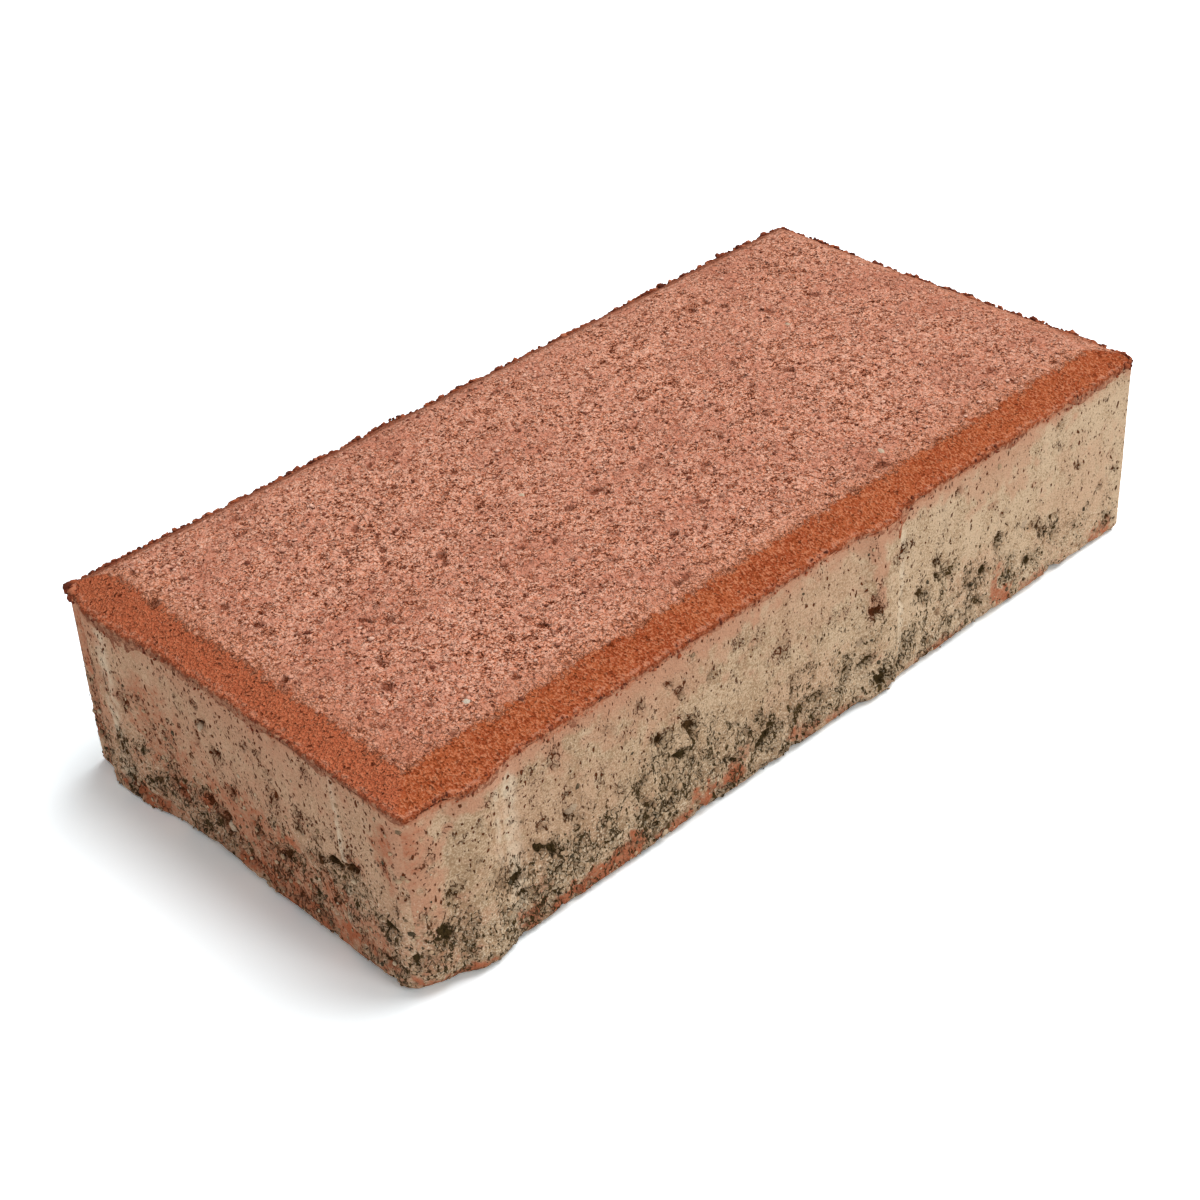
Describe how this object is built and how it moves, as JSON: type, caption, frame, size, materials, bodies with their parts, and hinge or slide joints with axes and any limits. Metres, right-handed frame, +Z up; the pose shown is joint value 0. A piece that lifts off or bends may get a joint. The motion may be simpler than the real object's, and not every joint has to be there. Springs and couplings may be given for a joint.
{
  "type": "concrete paving stone",
  "caption": "Rectangular cast concrete paving stone with a chamfered red wearing face, bare cement sides and low upright spacer nibs.",
  "frame": {"origin": "centre of the underside, on the plane the stone rests on", "axes": "+Z up through the wearing face, +X along the long sides, +Y along the short sides"},
  "size_m": [0.204, 0.104, 0.045],
  "materials": {
    "red_concrete": "rough cast, sandy"
  },
  "bodies": {
    "root": {"paving_stone": "red_concrete"}
  },
  "joints": []
}
